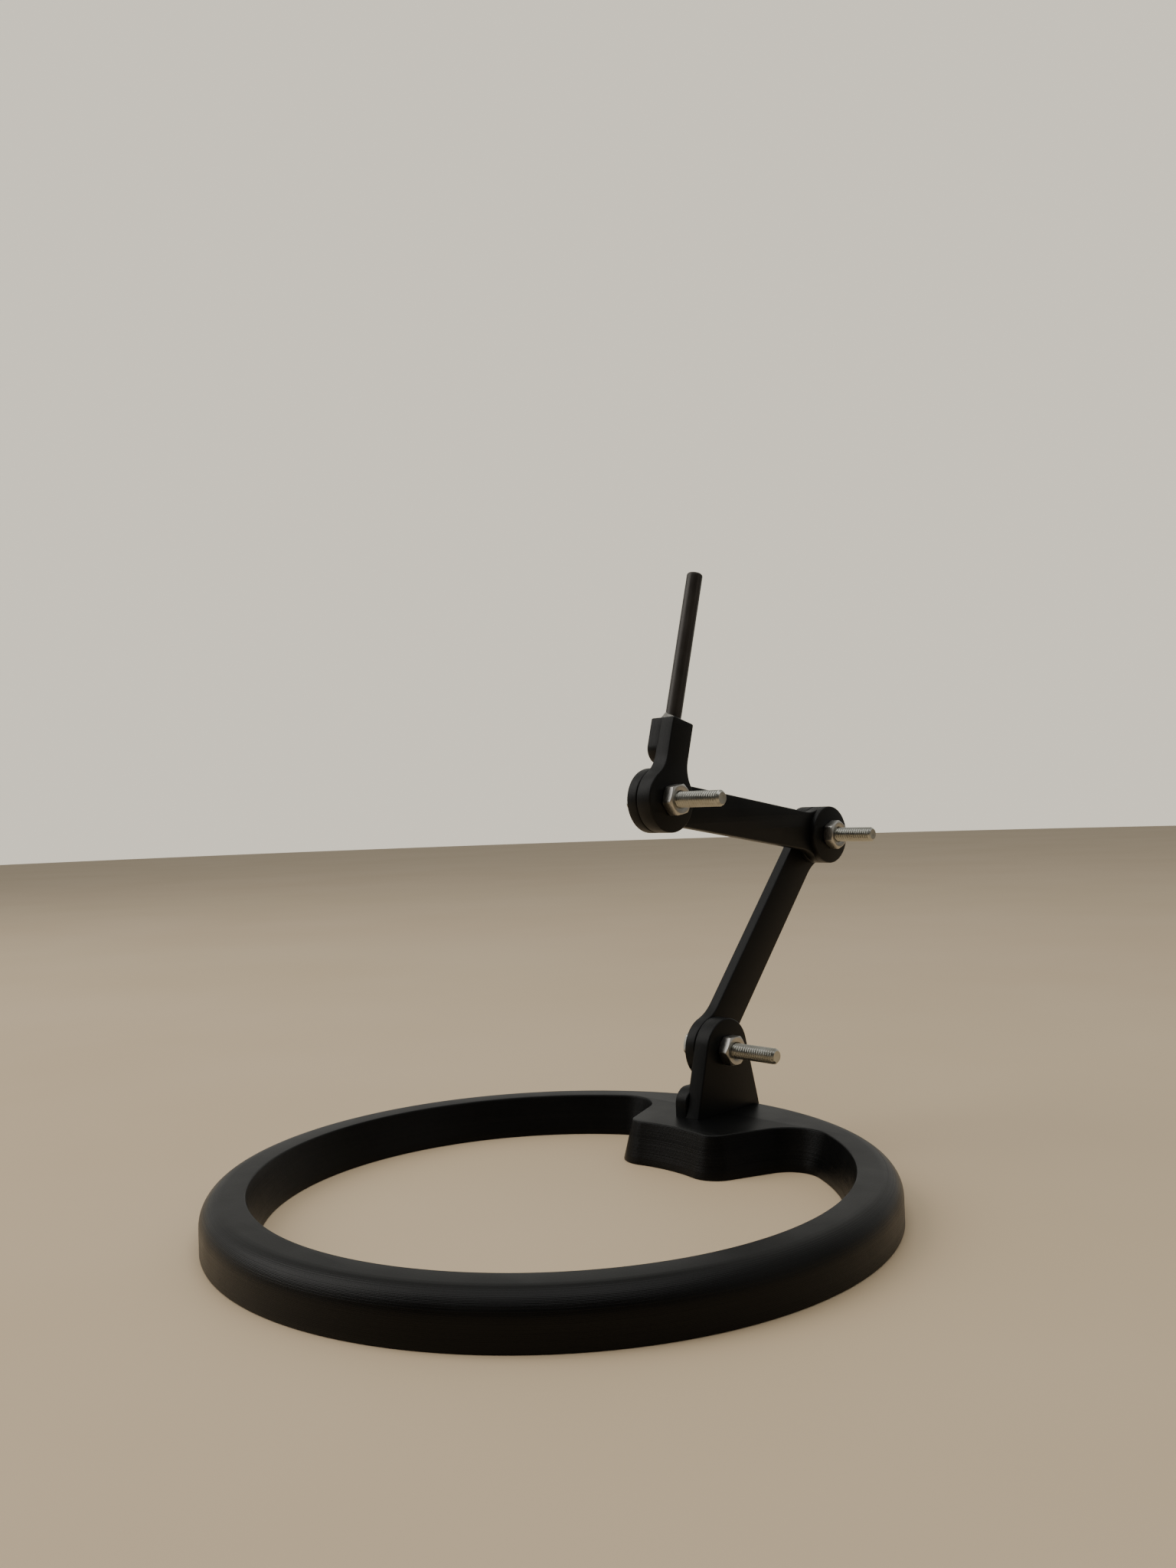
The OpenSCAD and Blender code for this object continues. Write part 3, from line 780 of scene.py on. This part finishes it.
def build_lock(name, cad, body):
    """Split spring washer: a square-section ring, cut on a slant."""
    l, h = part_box(cad)
    c = Vector(((l.y + h.y) / 2, l.z + (h.y - l.y) / 2))
    ro, ri = 3.8 * MM, 2.15 * MM
    bm = bmesh.new()
    n = 90
    gap = math.radians(5)
    b = 0.08 * MM
    sec = [(ri + b, 0), (ro - b, 0), (ro, b), (ro, 1 - b), (ro - b, 1), (ri + b, 1), (ri, 1 - b), (ri, b)]
    t = h.x - l.x
    loops = []
    for i in range(n + 1):
        L = []
        for k, (r, side) in enumerate([(ri + b, 0.0), (ro - b, 0.0), (ro, 0.1), (ro, 0.9), (ro - b, 1.0), (ri + b, 1.0), (ri, 0.9), (ri, 0.1)]):
            a = math.radians(90) + gap + (2 * math.pi - 2 * gap) * i / n
            skew = (side - 0.5) * t * math.tan(math.radians(35)) / r
            L.append(Vector((l.x + side * t, c.x + r * math.cos(a + skew), c.y + r * math.sin(a + skew))))
        loops.append(L)
    vs = loft(bm, loops)
    bm.faces.new(vs[0])
    bm.faces.new(vs[-1])
    bmesh.ops.recalc_face_normals(bm, faces=bm.faces)
    o = add_object(name, bm, mat_zinc, 35)
    return declare(o, body, cad)


for key, body, turn in (("base", "base", 0), ("elbow", "upper_arm", 25), ("head", "head", 10)):
    build_bolt(key + "_bolt_threaded", key + "_bolt", body)
    build_washer(key + "_washer_plain", key + "_washer", body)
    build_lock(key + "_washer_split", key + "_lock_washer", body)
    build_nut(key + "_nut_hex", key + "_nut", key + "_nut", turn)

# The two screws under the pad keep their CAD shape and get the plated finish.
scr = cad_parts["bracket_screws"]
scr.data.materials.clear()
scr.data.materials.append(mat_zinc)

# ------------------------------------------------------------------ stage
def build_floor():
    m, nt, bs = new_mat("pale_floor")
    tc = node(nt, "ShaderNodeTexCoord")
    n1 = node(nt, "ShaderNodeTexNoise", i_Scale=6.0, i_Detail=3.0)
    nt.links.new(tc.outputs["Object"], n1.inputs["Vector"])
    col = ramp(nt, n1.outputs[0], [(0.35, (0.69, 0.535, 0.345, 1)), (0.65, (0.72, 0.565, 0.375, 1))])
    nt.links.new(col, bs.inputs["Base Color"])
    bs.inputs["Roughness"].default_value = 0.6
    bm = bmesh.new()
    bmesh.ops.create_circle(bm, cap_ends=True, segments=96, radius=3.0)
    o = add_object("floor", bm, m)
    return o


build_floor()


def area(name, loc, target, size, power, color=(1, 1, 1)):
    d = bpy.data.lights.new(name, "AREA")
    d.shape = "RECTANGLE"
    d.size, d.size_y = size
    d.energy = power
    d.color = color
    o = bpy.data.objects.new(name, d)
    bpy.context.scene.collection.objects.link(o)
    o.location = loc
    o.rotation_euler = (Vector(target) - Vector(loc)).to_track_quat("-Z", "Y").to_euler()
    return o


# camera axes in the CAD frame
def cam_rot(yaw, pitch, roll):
    cy, sy, cp, sp, cr, sr = math.cos(yaw), math.sin(yaw), math.cos(pitch), math.sin(pitch), math.cos(roll), math.sin(roll)
    rz = Matrix(((cy, -sy, 0), (sy, cy, 0), (0, 0, 1)))
    rx = Matrix(((1, 0, 0), (0, cp, -sp), (0, sp, cp)))
    ry = Matrix(((cr, 0, sr), (0, 1, 0), (-sr, 0, cr)))
    return rz @ rx @ ry


a = math.radians(47.5)
turnz = Matrix(((math.cos(a), -math.sin(a), 0), (math.sin(a), math.cos(a), 0), (0, 0, 1)))
R = turnz @ cam_rot(-0.03703, 0.018505, 0.033452)
right, fwd, up = R.col[0], R.col[1], R.col[2]
cam_at = Vector((207.5 * MM, -190.1 * MM + CY, 88.05 * MM))
cam = bpy.data.cameras.new("camera")
cam.lens = 1657 * 36 / 2048
cam.sensor_width = 36
cam.clip_start = 0.01
cam.clip_end = 50
co = bpy.data.objects.new("camera", cam)
bpy.context.scene.collection.objects.link(co)
co.matrix_world = Matrix((
    (right.x, up.x, -fwd.x, cam_at.x),
    (right.y, up.y, -fwd.y, cam_at.y),
    (right.z, up.z, -fwd.z, cam_at.z),
    (0, 0, 0, 1)))
bpy.context.scene.camera = co

flat_r = Vector((math.cos(a), math.sin(a), 0))         # picture right
flat_f = Vector((-math.sin(a), math.cos(a), 0))        # away from the camera
centre = Vector((0, CY, 0.04))
area("window_left", centre - flat_r * 0.9 + flat_f * 0.1 + Vector((0, 0, 0.75)), centre, (0.9, 0.9), 5.6, (1.0, 0.97, 0.93))
area("soft_top", centre + Vector((0, 0, 1.2)) - flat_f * 0.2, centre, (1.2, 1.2), 5.9, (1.0, 0.985, 0.96))
area("fill_right", centre + flat_r * 1.1 - flat_f * 0.5 + Vector((0, 0, 0.6)), centre, (0.8, 0.8), 0.8, (1.0, 0.95, 0.88))

w = bpy.data.worlds.new("studio")
bpy.context.scene.world = w
w.use_nodes = True
wt = w.node_tree
bg = wt.nodes["Background"]
# the room is pale on the far side and overhead and dim on the near side; seen directly it is plain
wtc = node(wt, "ShaderNodeTexCoord")
dotn = node(wt, "ShaderNodeVectorMath", operation="DOT_PRODUCT")
wt.links.new(wtc.outputs["Generated"], dotn.inputs[0])
dotn.inputs[1].default_value = (flat_f.x * 0.85, flat_f.y * 0.85, 0.53)
room = ramp(wt, maths(wt, "MULTIPLY_ADD", dotn.outputs["Value"], 0.5, 0.5), [(0.25, (0.03, 0.031, 0.03, 1)), (0.52, (0.10, 0.10, 0.095, 1)), (0.85, (0.50, 0.49, 0.455, 1))])
lp = node(wt, "ShaderNodeLightPath")
mixw = node(wt, "ShaderNodeMix", data_type="RGBA", blend_type="MIX")
wt.links.new(lp.outputs["Is Camera Ray"], mixw.inputs[0])
wt.links.new(room, mixw.inputs[6])
mixw.inputs[7].default_value = (0.97, 0.895, 0.74, 1)
wt.links.new(mixw.outputs[2], bg.inputs[0])
bg.inputs[1].default_value = 1.0
